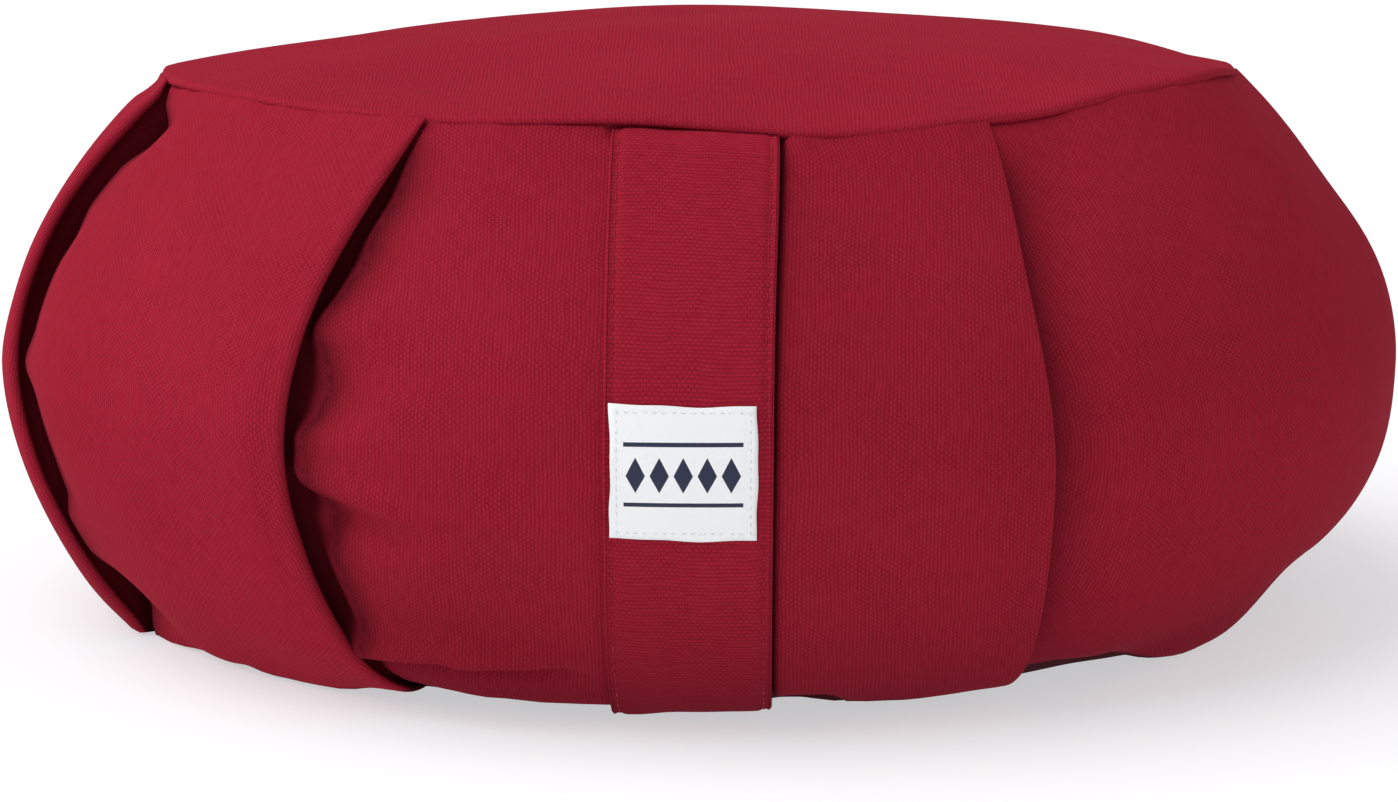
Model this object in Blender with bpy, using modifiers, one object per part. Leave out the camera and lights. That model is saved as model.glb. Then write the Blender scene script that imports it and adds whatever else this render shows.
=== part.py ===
"""A pleated zafu: a round, filled meditation cushion with a carrying strap and a sewn label.

Metres, +Z up. The cushion stands on Z = 0 with its axis on Z, and its strap faces -Y.
An azimuth is in degrees about the axis, from -Y (the front) towards +X. A share runs down the
side band, from 0 at the top seam to 1 at the bottom seam.
"""

import math
from collections import namedtuple

import bmesh
import bpy

MM = 0.001

# The filled form: the top panel's seam, the band's widest ring, the bottom seam and the crown
SEAM_RADIUS = 0.140
SEAM_HEIGHT = 0.139
BULGE_RADIUS = 0.1813
BULGE_HEIGHT = 0.067
BOTTOM_SEAM_RADIUS = 0.139
BOTTOM_SEAM_HEIGHT = 0.0040
CROWN_HEIGHT = 0.0118
CROWN_POWER = 2.0
PANEL_PUFF = 0.0022
# The share at which the band is widest, and the powers of its curve above and below that
BULGE_SHARE = 0.50
SHOULDER_POWER = 1.74
HEEL_POWER = 1.08
# The band is flattened where it would sag lower than this, and the hem ring lies lower still
LOWEST_BAND = 0.0006
HEM_RADIUS = 0.132
HEM_HEIGHT = 0.0005
FLOOR_RADIUS = 0.124

# The seam between the top panel and the band: the panel's edge laps over a narrow groove
LIP_RADIUS = 0.1404
LIP_RISE = 0.0010
GROOVE_RADIUS = 0.1388
GROOVE_RISE = 0.0004

# Knife pleats, each folded towards +azimuth over the next panel. The azimuths are of the fold
# edge, at five even shares from the top seam to the bottom seam. The edge stands lift proud of
# the band, the next panel lies dip below it, and the fold laps overlap over that panel. The dip
# isn't even: it swells and shrinks wave_turns times on the way down.
Pleat = namedtuple("Pleat", "top high middle low bottom lift dip overlap wave_turns wave_phase")
PLEATS = (
    Pleat(-74.5, -77.5, -72.8, -66.8, -67.5, 2.5 * MM, 8.0 * MM, 16 * MM, 3.2, 0.6),
    Pleat(-26.9, -30.5, -31.8, -30.3, -28.0, 4.5 * MM, 6.0 * MM, 15 * MM, 3.0, 2.2),
    Pleat(29.0, 26.5, 26.3, 27.8, 32.0, 2.4 * MM, 2.6 * MM, 11 * MM, 2.0, 1.0),
    Pleat(88.0, 86.0, 85.5, 86.5, 88.0, 2.4 * MM, 6.0 * MM, 15 * MM, 2.6, 3.4),
    Pleat(138.5, 136.8, 135.2, 136.0, 140.0, 4.5 * MM, 5.5 * MM, 14 * MM, 3.1, 5.0),
    Pleat(189.0, 187.0, 186.0, 186.6, 188.0, 3.0 * MM, 5.0 * MM, 15 * MM, 2.3, 0.2),
    Pleat(238.0, 236.4, 234.2, 235.0, 240.0, 4.2 * MM, 6.0 * MM, 16 * MM, 2.9, 4.1),
)
FRONT_PANEL = 1
WAVE_SIZE = 0.30
FOLD_THICKNESS = 3.2 * MM
# What is left of a pleat where it is sewn flat into a seam, and how soon it opens away from it
SEWN_LIFT = 1.5 * MM
SEWN_DIP = 0.5 * MM
SEWN_OVERLAP = 2.6 * MM
SEWN_THICKNESS = 1.0 * MM
OPENING_POWER = 0.75
# How far from its edge a fold starts to rise, and how far past it the next panel is level again
LIFT_REACH = 44 * MM
DIP_REACH = 26 * MM

# The hand-sewn top seam isn't level: how far it rises above SEAM_HEIGHT, by azimuth
SeamRise = namedtuple("SeamRise", "azimuth rise")
SEAM_RISES = (
    SeamRise(-85, 0.4 * MM),
    SeamRise(-55, 0.9 * MM),
    SeamRise(-28, -0.4 * MM),
    SeamRise(-8, 1.2 * MM),
    SeamRise(13, -2.4 * MM),
    SeamRise(30, -0.6 * MM),
    SeamRise(50, 2.8 * MM),
    SeamRise(66, 3.2 * MM),
    SeamRise(88, 0.2 * MM),
    SeamRise(103, -1.6 * MM),
    SeamRise(132, 0.4 * MM),
    SeamRise(182, -0.4 * MM),
    SeamRise(222, -5.4 * MM),
    SeamRise(252, -4.0 * MM),
)
# The share by which the band no longer follows its seam's rise
RISE_REACH = 0.5

# Soft hollows in the band, and swellings where the depth is negative
Hollow = namedtuple("Hollow", "azimuth half_width share half_height depth")
HOLLOWS = (
    Hollow(-18, 11, 0.805, 0.035, 2.6 * MM),
    Hollow(-16, 13, 0.950, 0.060, -1.6 * MM),
    Hollow(-44, 13, 0.950, 0.100, -3.8 * MM),
    Hollow(-66, 14, 0.960, 0.080, -3.0 * MM),
    Hollow(-78, 14, 0.890, 0.120, -4.4 * MM),
    Hollow(41, 10, 0.960, 0.120, 3.0 * MM),
    Hollow(60, 13, 0.960, 0.090, -4.2 * MM),
    Hollow(68, 9, 0.800, 0.070, 3.0 * MM),
    Hollow(88, 14, 0.930, 0.075, 4.4 * MM),
    Hollow(88, 16, 0.200, 0.100, 1.7 * MM),
    Hollow(112, 14, 0.800, 0.040, 2.0 * MM),
    Hollow(163, 13, 0.860, 0.045, 2.4 * MM),
    Hollow(212, 15, 0.780, 0.040, 2.2 * MM),
    Hollow(262, 12, 0.250, 0.080, 1.8 * MM),
)

# Where the surface is sampled: rings down the band, and along a ring the places past one fold
# edge, on the panel between, and before the next fold edge
LABEL_TOP = 0.400
LABEL_BOTTOM = 0.590
BAND_SHARES = (
    0, 0.012, 0.040, 0.085, 0.150, 0.230, 0.315, LABEL_TOP, 0.465, 0.527, LABEL_BOTTOM,
    0.650, 0.705, 0.750, 0.790, 0.830, 0.880, 0.930, 0.970, 1,
)
TUCKED = (1, 0.5, 0)
PAST_EDGE = (5 * MM, 12 * MM, 24 * MM)
BETWEEN = 5
BEFORE_EDGE = (40 * MM, 26 * MM, 14 * MM, 6 * MM)
TURNED = 4
UNDERFOLD = 0.55
TOP_RINGS = (0.24, 0.50, 0.74, 0.90, 0.975)
FLOOR_RINGS = (1, 0.55)
SHARP_ANGLE = 50

# The strap, and the label sewn on it. Both are flat cloth that follows the front panel, a gap
# away from it. The strap lies closer at its left edge than at its right.
STRAP_WIDTH = 0.0375
STRAP_MIDDLE = -0.0022
STRAP_THICKNESS = 2.0 * MM
STRAP_TOP = 0.012
STRAP_BOTTOM = 0.970
STRAP_COLUMNS = 6
STRAP_LEFT_GAP = 0.4 * MM
STRAP_RIGHT_GAP = 1.3 * MM
LABEL_WIDTH = 0.0322
LABEL_MIDDLE = -0.0034
LABEL_THICKNESS = 0.7 * MM
LABEL_COLUMNS = 4
LABEL_GAP = 0.4 * MM

CANVAS_RED = (0.380, 0.017, 0.032, 1)
LABEL_WHITE = (0.870, 0.880, 0.900, 1)


def smooth(x):
    """0 below 0, 1 above 1, and an even S between them."""
    x = min(max(x, 0), 1)
    return x * x * (3 - 2 * x)


def blend(a, b, t):
    return a + (b - a) * t


def curve_through(values, along):
    """A smooth curve through evenly spaced values, along running from 0 to 1."""
    at = along * (len(values) - 1)
    here = min(int(at), len(values) - 2)
    t = at - here
    a, b = values[here], values[here + 1]
    before = values[here - 1] if here > 0 else 2 * a - b
    after = values[here + 2] if here + 2 < len(values) else 2 * b - a
    slope_a, slope_b = (b - before) / 2, (after - a) / 2
    return (
        (2 * t**3 - 3 * t**2 + 1) * a
        + (t**3 - 2 * t**2 + t) * slope_a
        + (3 * t**2 - 2 * t**3) * b
        + (t**3 - t**2) * slope_b
    )


def seam_rise(azimuth):
    """How far the top seam stands above SEAM_HEIGHT, eased between the table's rows."""
    rows = SEAM_RISES + (SeamRise(SEAM_RISES[0].azimuth + 360, SEAM_RISES[0].rise),)
    azimuth = (azimuth - rows[0].azimuth) % 360 + rows[0].azimuth
    for before, after in zip(rows, rows[1:]):
        if azimuth <= after.azimuth:
            along = (azimuth - before.azimuth) / (after.azimuth - before.azimuth)
            return blend(before.rise, after.rise, smooth(along))


def band_profile(share):
    """Radius and height of the band without its pleats."""
    if share < BULGE_SHARE:
        up = 1 - share / BULGE_SHARE
        radius = blend(BULGE_RADIUS, SEAM_RADIUS, up**SHOULDER_POWER)
        return radius, blend(BULGE_HEIGHT, SEAM_HEIGHT, up)
    turn = (share - BULGE_SHARE) / (1 - BULGE_SHARE) * math.pi / 2
    out = max(math.cos(turn), 0) ** HEEL_POWER
    down = math.sin(turn) ** HEEL_POWER
    radius = blend(BOTTOM_SEAM_RADIUS, BULGE_RADIUS, out)
    return radius, blend(BULGE_HEIGHT, BOTTOM_SEAM_HEIGHT, down)


def band_normal(share):
    """The band's outward direction, as its radial and upward parts."""
    step = 0.004
    r0, z0 = band_profile(max(share - step, 0))
    r1, z1 = band_profile(min(share + step, 1))
    long = math.hypot(r1 - r0, z1 - z0)
    return (z0 - z1) / long, (r1 - r0) / long


def hollow_depth(azimuth, share):
    """How far the hollows draw the band in."""
    depth = 0
    for hollow in HOLLOWS:
        aside = ((azimuth - hollow.azimuth + 180) % 360 - 180) / hollow.half_width
        away = (share - hollow.share) / hollow.half_height
        depth += hollow.depth * math.exp(-(aside**4) - away**2)
    return depth


def place(radius, azimuth, height):
    turn = math.radians(azimuth)
    return radius * math.sin(turn), -radius * math.cos(turn), height


def band_point(azimuth, share, outward):
    """The point that far out from the unpleated band."""
    radius, height = band_profile(share)
    out, up = band_normal(share)
    outward -= hollow_depth(azimuth, share)
    height += seam_rise(azimuth) * (1 - smooth(share / RISE_REACH)) + up * outward
    return place(radius + out * outward, azimuth, max(height, LOWEST_BAND))


def degrees_across(share):
    """Degrees of azimuth in a metre along the band."""
    return math.degrees(1 / band_profile(share)[0])


def edge_azimuth(pleat, share):
    return curve_through((pleat.top, pleat.high, pleat.middle, pleat.low, pleat.bottom), share)


def fold_sizes(pleat, share):
    """Lift, dip, overlap and thickness of a pleat, which opens away from the seams."""
    opening = math.sin(math.pi * share) ** OPENING_POWER
    wave = 1 + WAVE_SIZE * math.sin(2 * math.pi * pleat.wave_turns * share + pleat.wave_phase)
    return (
        blend(SEWN_LIFT, pleat.lift, opening),
        blend(SEWN_DIP, pleat.dip * wave, opening),
        blend(SEWN_OVERLAP, pleat.overlap, opening),
        blend(SEWN_THICKNESS, FOLD_THICKNESS, opening),
    )


def panel_ends(index, share):
    """The pleats at a panel's start and end, and the azimuths of their fold edges."""
    first, last = PLEATS[index], PLEATS[(index + 1) % len(PLEATS)]
    wrap = 360 if index == len(PLEATS) - 1 else 0
    return first, last, edge_azimuth(first, share), edge_azimuth(last, share) + wrap


def panel_offset(index, azimuth, share):
    """How far a panel stands out from the unpleated band."""
    first, last, start, end = panel_ends(index, share)
    past = (azimuth - start) / degrees_across(share)
    before = (end - azimuth) / degrees_across(share)
    dip = fold_sizes(first, share)[1]
    lift = fold_sizes(last, share)[0]
    across = (azimuth - start) / (end - start)
    puff = PANEL_PUFF * math.sin(math.pi * across) * math.sin(math.pi * share)
    return lift * (1 - smooth(before / LIFT_REACH)) - dip * (1 - smooth(past / DIP_REACH)) + puff


def panel_azimuths(index, share):
    """Where a ring is sampled on a panel, from just past one fold edge to just before the next."""
    _, _, start, end = panel_ends(index, share)
    scale = degrees_across(share)
    first, last = start + PAST_EDGE[-1] * scale, end - BEFORE_EDGE[0] * scale
    return (
        [start + past * scale for past in PAST_EDGE]
        + [blend(first, last, (number + 1) / (BETWEEN + 1)) for number in range(BETWEEN)]
        + [end - before * scale for before in BEFORE_EDGE]
    )


def panel_course(index, share):
    """(azimuth, offset) from under one fold, along the panel, and round the fold that ends it."""
    first, last, start, end = panel_ends(index, share)
    scale = degrees_across(share)
    _, dip, overlap, _ = fold_sizes(first, share)
    course = [(start - overlap * back * scale, -dip) for back in TUCKED]
    course += [
        (azimuth, panel_offset(index, azimuth, share)) for azimuth in panel_azimuths(index, share)
    ]
    lift, dip, overlap, thick = fold_sizes(last, share)
    under = lift - thick
    return course + [
        (end - thick / 2 * scale, lift),
        (end, lift - thick / 2),
        (end - thick / 2 * scale, under),
        (end - overlap * UNDERFOLD * scale, blend(under, -dip, UNDERFOLD)),
    ]


def level_azimuths(share):
    """One azimuth for each point of a folded ring, those at each fold being spread evenly."""
    ring = []
    reach = BEFORE_EDGE[-1] + PAST_EDGE[0]
    step = reach * degrees_across(share) / (len(TUCKED) + TURNED + 1)
    for index in range(len(PLEATS)):
        azimuths = panel_azimuths(index, share)
        ring += [azimuths[0] - step * back for back in range(len(TUCKED), 0, -1)]
        ring += azimuths
        ring += [azimuths[-1] + step * (number + 1) for number in range(TURNED)]
    return ring


def band_ring(share):
    """A ring of the band, with its folds."""
    return [
        band_point(azimuth, share, offset)
        for index in range(len(PLEATS))
        for azimuth, offset in panel_course(index, share)
    ]


def top_ring(radius, rise):
    """A ring of the top panel, whose waves fade towards the crown."""
    part = radius / SEAM_RADIUS
    crown = CROWN_HEIGHT * max(1 - part**CROWN_POWER, 0)
    return [
        place(radius, azimuth, SEAM_HEIGHT + rise + crown + seam_rise(azimuth) * part**2)
        for azimuth in level_azimuths(0)
    ]


def floor_ring(radius, height):
    return [place(radius, azimuth, height) for azimuth in level_azimuths(1)]


def add_quads(mesh, rows, closed):
    """Faces between rows of points that run from the top down."""
    for upper, lower in zip(rows, rows[1:]):
        for here in range(len(upper) if closed else len(upper) - 1):
            after = (here + 1) % len(upper)
            mesh.faces.new((upper[here], lower[here], lower[after], upper[after]))


def add_fan(mesh, ring, centre):
    """Triangles from a ring to a point within it, facing up where the ring runs +azimuth."""
    middle = mesh.verts.new(centre)
    for here in range(len(ring)):
        mesh.faces.new((middle, ring[here], ring[(here + 1) % len(ring)]))


def finish_piece(name, mesh):
    data = bpy.data.meshes.new(name)
    mesh.to_mesh(data)
    mesh.free()
    data.shade_smooth()
    return bpy.data.objects.new(name, data)


def add_cushion():
    """One closed loft: the top panel, the lapped seam, the pleated band and the flat bottom."""
    rings = [top_ring(SEAM_RADIUS * part, LIP_RISE) for part in TOP_RINGS]
    rings += [top_ring(LIP_RADIUS, LIP_RISE), top_ring(GROOVE_RADIUS, GROOVE_RISE)]
    rings += [band_ring(share) for share in BAND_SHARES]
    rings += [floor_ring(HEM_RADIUS, HEM_HEIGHT)]
    rings += [floor_ring(FLOOR_RADIUS * part, 0) for part in FLOOR_RINGS]
    mesh = bmesh.new()
    rows = [[mesh.verts.new(point) for point in ring] for ring in rings]
    add_quads(mesh, rows, closed=True)
    add_fan(mesh, rows[0], (0, 0, SEAM_HEIGHT + LIP_RISE + CROWN_HEIGHT))
    add_fan(mesh, rows[-1][::-1], (0, 0, 0))
    cushion = finish_piece("cushion", mesh)
    cushion.data.set_sharp_from_angle(angle=math.radians(SHARP_ANGLE))
    return cushion


def add_cloth_strip(name, top, bottom, columns, width, middle, gap, thickness):
    """A sheet on the front panel. gap(side) is its distance from the band, side from -1 to 1."""
    mesh = bmesh.new()
    rows = []
    for share in BAND_SHARES:
        if not top <= share <= bottom:
            continue
        row = []
        for column in range(columns + 1):
            side = 2 * column / columns - 1
            across = middle + side * width / 2
            azimuth = math.degrees(math.asin(across / band_profile(share)[0]))
            outward = panel_offset(FRONT_PANEL, azimuth, share) + gap(side)
            row.append(mesh.verts.new(band_point(azimuth, share, outward)))
        rows.append(row)
    add_quads(mesh, rows, closed=False)
    strip = finish_piece(name, mesh)
    # The faces point outwards, and the sheet's thickness is on that side
    sheet = strip.modifiers.new("sheet", "SOLIDIFY")
    sheet.thickness = thickness
    sheet.offset = 1
    sheet.use_even_offset = True
    return strip


def strap_gap(side):
    return blend(STRAP_LEFT_GAP, STRAP_RIGHT_GAP, smooth(side))


def label_gap(side):
    """The label lies on the strap."""
    on_strap = (LABEL_MIDDLE + side * LABEL_WIDTH / 2 - STRAP_MIDDLE) / (STRAP_WIDTH / 2)
    return strap_gap(on_strap) + STRAP_THICKNESS + LABEL_GAP


def add_strap():
    return add_cloth_strip(
        "carrying_strap", STRAP_TOP, STRAP_BOTTOM, STRAP_COLUMNS,
        STRAP_WIDTH, STRAP_MIDDLE, strap_gap, STRAP_THICKNESS,
    )


def add_label():
    return add_cloth_strip(
        "sewn_label", LABEL_TOP, LABEL_BOTTOM, LABEL_COLUMNS,
        LABEL_WIDTH, LABEL_MIDDLE, label_gap, LABEL_THICKNESS,
    )


def cloth_material(name, colour, roughness):
    material = bpy.data.materials.new(name)
    material.use_nodes = True
    shader = material.node_tree.nodes["Principled BSDF"]
    shader.inputs["Base Color"].default_value = colour
    shader.inputs["Roughness"].default_value = roughness
    shader.inputs["Metallic"].default_value = 0
    return material


def main():
    for old in list(bpy.data.objects):
        bpy.data.objects.remove(old)
    pieces = bpy.data.collections.new("zafu_meditation_cushion")
    bpy.context.scene.collection.children.link(pieces)
    for piece, material in (
        (add_cushion(), cloth_material("red_cotton_canvas", CANVAS_RED, 0.90)),
        (add_strap(), cloth_material("red_canvas_webbing", CANVAS_RED, 0.88)),
        (add_label(), cloth_material("white_woven_label", LABEL_WHITE, 0.70)),
    ):
        piece.data.materials.append(material)
        pieces.objects.link(piece)


main()
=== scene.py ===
"""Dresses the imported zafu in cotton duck: a filled cover with deep knife pleats, a carrying strap
and a small woven label, with its top-stitching.

Metres, +Z up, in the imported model's frame. An azimuth is in degrees about the axis, from -Y (the
front) towards +X. A share runs down the side band, from 0 at the top seam to 1 at the bottom seam.
"""

import math
from collections import namedtuple

import bpy
import numpy as np
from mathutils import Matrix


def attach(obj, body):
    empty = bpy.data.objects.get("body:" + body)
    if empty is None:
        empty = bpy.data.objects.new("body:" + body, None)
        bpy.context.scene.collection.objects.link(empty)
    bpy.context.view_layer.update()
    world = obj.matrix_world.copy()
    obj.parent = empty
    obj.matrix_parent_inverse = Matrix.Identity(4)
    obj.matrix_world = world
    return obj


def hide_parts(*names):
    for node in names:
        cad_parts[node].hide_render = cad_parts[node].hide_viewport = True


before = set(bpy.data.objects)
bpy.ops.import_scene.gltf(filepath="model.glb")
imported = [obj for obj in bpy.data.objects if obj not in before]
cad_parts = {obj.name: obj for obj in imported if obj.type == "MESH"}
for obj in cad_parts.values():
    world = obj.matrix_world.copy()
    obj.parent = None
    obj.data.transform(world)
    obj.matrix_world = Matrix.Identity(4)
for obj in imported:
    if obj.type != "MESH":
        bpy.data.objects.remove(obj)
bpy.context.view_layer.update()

MM = 0.001


def table(kind, plain, rows):
    """Rows of a kind. Past the first plain numbers of a row, the others are in millimetres."""
    return tuple(kind(*row[:plain], *(size * MM for size in row[plain:])) for row in rows)


# ---------------------------------------------------------------- the filled form
# Its radii and heights are the solids' own, apart from the groove's
SEAM_RADIUS = 0.140
SEAM_HEIGHT = 0.139
BULGE_RADIUS = 0.1813
BULGE_HEIGHT = 0.067
BOTTOM_SEAM_RADIUS = 0.139
BOTTOM_SEAM_HEIGHT = 0.0040
BULGE_SHARE = 0.50
SHOULDER_POWER = 1.74
HEEL_POWER = 1.08
LOWEST_BAND = 0.0006
HEM_RADIUS = 0.132
HEM_HEIGHT = 0.0005
FLOOR_RADIUS = 0.124
PANEL_PUFF = 2.2 * MM

# The top panel: its crown, and its edge, which rolls over and is sewn to the band in a groove
CROWN_TOP = 0.1518
EDGE_RISE = 2.0 * MM
EDGE_ROLL = 1.5 * MM
LIP_RADIUS = 0.1404
GROOVE_RADIUS = 0.1384
GROOVE_RISE = 0.3 * MM
CROWN_POWER = 2.0
# A seam that is pulled down draws the panel down only this near its edge
PULL_POWER = 4
# The rolled edge holds the cloth taut, so the filling shows less near it
EDGE_CALM = 3
EDGE_UNEVEN = 0.3
# The cloth from the rolled edge into the groove, and how far the weave is eased across the seam
GROOVE_DROP = 1.5 * MM
SEAM_EASE = 1.01
# The rings of the flat bottom, as shares of its radius
FLOOR_PARTS = (1, 0.6, 0.2)

# Knife pleats, each folded towards +azimuth over the next panel. The azimuths are of the fold
# edge, at five even shares from the top seam to the bottom seam. The edge stands lift proud of
# the band, and the next panel runs overlap back under it.
Pleat = namedtuple("Pleat", "top high middle low bottom lift overlap")
PLEATS = table(Pleat, 5, (
    (-74.5, -77.5, -72.8, -66.8, -67.5, 2.5, 16), (-26.9, -30.5, -31.8, -30.3, -28, 4.5, 15),
    (29, 26.5, 26.3, 27.8, 31, 2.4, 11), (88, 86, 85.5, 86.5, 88, 2.4, 15),
    (138.5, 136.8, 135.2, 136, 140, 4.5, 14), (189, 187, 186, 186.6, 188, 3, 15),
    (238, 236.4, 234.2, 235, 240, 4.2, 16),
))
FRONT_PANEL = 1
SEWN_LIFT = 1.5 * MM
SEWN_OVERLAP = 2.6 * MM
OPENING_POWER = 0.75
LIFT_REACH = 44 * MM

# How each pleat stands open on its way down. Past the fold edge a slot falls to depth, and gap
# past it the next panel comes up over a shoulder, which lies below the band. The fold is thick,
# and its edge droops. A small wall makes the shoulder crisp. A row that ends early has no droop.
Mouth = namedtuple("Mouth", "share gap shoulder depth wall thick droop", defaults=(0.0,))
MOUTHS = [table(Mouth, 1, rows) for rows in (
    (
        (0, 0.8, 0.6, 1, 1, 1), (0.02, 4, 1.6, 8, 3, 2.2), (0.05, 12, 5.4, 14, 8, 3),
        (0.08, 12.5, 5.2, 15, 9.5, 3.2), (0.1, 12, 4.4, 15, 9.5, 3.2), (0.13, 11, 3.6, 15, 9.5, 3.2),
        (0.19, 11, 3.6, 15, 9.5, 3.2), (0.25, 12, 4.6, 16, 10.5, 3.2), (0.3, 11.5, 3.8, 16, 10, 3.2),
        (0.38, 10, 3.2, 15, 9, 3.2), (0.42, 9, 2.8, 14, 8, 3.2), (0.475, 8, 1.1, 10.5, 7, 3.2),
        (0.53, 8.5, 3, 13, 7.5, 3.2), (0.6, 9, 3.3, 14, 8, 3.2), (0.655, 8.5, 2.8, 13, 7.5, 3),
        (0.69, 7.5, 0.4, 10, 6.5, 3), (0.735, 7, 0.5, 9, 6, 2.8), (0.8, 9, 3.3, 12, 7.5, 2.8),
        (0.86, 8.5, 3.7, 12, 7, 2.6), (0.91, 4.5, 0.6, 7, 4, 2.2), (1, 0.4, 0.2, 0.5, 1, 1.2),
    ),
    (
        (0, 0.3, 0.2, 0.5, 1, 1.2), (0.05, 1.4, 0.8, 4.5, 5, 2.4), (0.11, 4.2, 1.4, 6.5, 8, 3.2),
        (0.16, 4.4, 1.2, 7, 9, 3.4), (0.2, 5.4, 1.4, 7.5, 10, 3.4), (0.25, 4.4, 1, 6.5, 9, 3.4),
        (0.305, 1.6, 0.2, 5, 6.5, 3.4, 0.2), (0.35, 6, 1.2, 6.8, 10.5, 3.8, 0.6),
        (0.4, 9.2, 2, 7.6, 12.5, 4, 1.2), (0.44, 7.8, 2, 7.4, 11, 4.2, 1.6),
        (0.485, 4.2, 0.8, 6.2, 8.5, 4.4, 1.8), (0.535, 5.6, 1.2, 6.8, 9, 4.4, 1.8),
        (0.585, 8.2, 2.6, 7.8, 12, 4.6, 1.6), (0.62, 7.6, 2.8, 8.2, 11, 4.9, 1.6),
        (0.66, 6.6, 2.3, 8, 10, 5, 1.3), (0.7, 6.8, 2, 8, 10.5, 5, 1),
        (0.76, 5.8, 1.8, 7.2, 9.5, 4.6, 0.6), (0.8, 3.4, 1.2, 5.8, 7.5, 4, 0.2),
        (0.835, 1, 0.8, 4, 4.5, 3), (0.87, 0.6, 0.8, 3.2, 3, 2.4), (1, 0.4, 0.2, 0.5, 1, 1.2),
    ),
    (
        (0, 0.3, 0.2, 0.5, 1, 1.2), (0.1, 1, 3.4, 6, 4, 1.8), (0.3, 1.2, 4.2, 7, 4, 2),
        (0.55, 1.2, 4.8, 7.5, 4, 2), (0.72, 1.6, 5.2, 8, 4.5, 2), (0.86, 1.4, 4.8, 7.5, 4, 1.9),
        (1, 0.3, 0.2, 0.5, 1, 1.2),
    ),
    (
        (0, 0.4, 0.2, 0.5, 1, 1.2), (0.1, 3, 1, 6, 3.5, 2.2), (0.24, 4.6, 1.6, 7.5, 4, 2.6),
        (0.38, 1.4, 0.4, 5, 4, 2.8, 0.6), (0.52, 5, 1.8, 7.5, 4.5, 3, 1), (0.66, 2, 0.8, 6, 4.5, 3, 1),
        (0.8, 5, 2.4, 7, 4.5, 2.8, 0.4), (1, 0.4, 0.2, 0.5, 1, 1.2),
    ),
    (
        (0, 0.4, 0.2, 0.5, 1, 1.2), (0.07, 3.4, 1.2, 6, 3, 2.2), (0.18, 5.4, 2, 8, 3.5, 2.4),
        (0.3, 1.2, 0.2, 6, 4, 2.6, 0.4), (0.43, 6.4, 2, 8, 5, 3, 1.2),
        (0.56, 2.2, 0.8, 6.5, 4.5, 3.2, 1.6), (0.68, 6, 2.8, 8, 4.5, 3, 1.2),
        (0.84, 2.6, 1.4, 6, 3.5, 2.4, 0.2), (1, 0.4, 0.2, 0.5, 1, 1.2),
    ),
    (
        (0, 0.4, 0.2, 0.5, 1, 1.2), (0.12, 2.2, 1.2, 5, 3.5, 2), (0.28, 3.6, 1.6, 6.5, 4, 2.4),
        (0.46, 0.9, 0.6, 4.5, 4, 2.6, 0.4), (0.63, 4.4, 2, 6.5, 4.5, 2.8, 0.8),
        (0.82, 2.4, 1.6, 5, 4, 2.4, 0.2), (1, 0.4, 0.2, 0.5, 1, 1.2),
    ),
    (
        (0, 0.4, 0.2, 0.5, 1, 1.2), (0.08, 5, 1.8, 7.5, 3.5, 2.6), (0.2, 6.6, 2.2, 8.5, 4, 3),
        (0.34, 2, 0.6, 6, 4, 3, 0.2), (0.5, 5.6, 1.8, 8, 5, 3.2, 1.2),
        (0.61, 1.4, 0.4, 6, 4.5, 3.2, 1.4), (0.76, 6, 2.8, 8, 4.5, 3, 0.8), (0.9, 1.6, 1, 4, 3, 2),
        (1, 0.4, 0.2, 0.5, 1, 1.2),
    ),
)]
SHELF_REACH = 26 * MM

# Painted shade: cloth that light doesn't reach is painted darker, towards a deep red, as dark as
# those places look in the photograph: in an open slot and at a fold's back, and beside a slot's
# mouth the less the further away. Low down it is painted darker too, more so towards the hem, and
# fully from HEM_LINE down, as a painted contact shadow.
SLOT_SHADE = 0.60
BORDER_SHADE = 0.78
BORDER_REACH = 5.5 * MM
BORDER_DEPTH = 6.5 * MM
BACK_SHADE = 0.70
LOW_SHADE = 0.34
LOW_START = 0.52
LOW_REACH = 0.42
HEM_SHADE = 0.45
HEM_START = 0.93
HEM_REACH = 0.07
HEM_LINE = 0.925
HEM_LINE_REACH = 0.035
FLOOR_SHADE = 1.0

# How much painted shade each panel, numbered as its first pleat, and the strap get all over,
# and how much of the painted shade low down each shows
Fade = namedtuple("Fade", "kept low")
PANEL_SHADES = (
    Fade(0.00, 0.0), Fade(0.07, 0.85), Fade(0.00, 1.0), Fade(0.02, 1.0), Fade(0.00, 1.0),
    Fade(0.03, 1.0), Fade(0.00, 0.8),
)
STRAP_SHADE = Fade(0.00, 1.35)

# How the cloth is rubbed: less far round a fold's edge the larger RUB_SPREAD is, a little before
# the fold, and along these rows of the top panel's rolled edge
RUB_SPREAD = 0.9
RUB_BEFORE = 0.3
RUB_LIP = 0.5
RUBBED_LIP_ROWS = slice(-5, -2)

# How far before its edge a fold droops, and the share of the overlap that its back runs under
DROOP_REACH = 9 * MM
UNDERFOLD = 0.55

# The hand-sewn top seam isn't level: how far it rises above SEAM_HEIGHT, by azimuth
SeamRise = namedtuple("SeamRise", "azimuth rise")
SEAM_RISES = table(SeamRise, 1, (
    (-85, -0.4), (-55, 0.9), (-28, -0.4), (-8, 1.2), (13, -2.4), (30, -0.6), (50, 2.8), (66, 3.2),
    (88, -0.4), (103, -2.4), (132, 0.4), (182, -1.4), (222, -7.2), (252, -6.2),
))
RISE_REACH = 0.5

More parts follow.
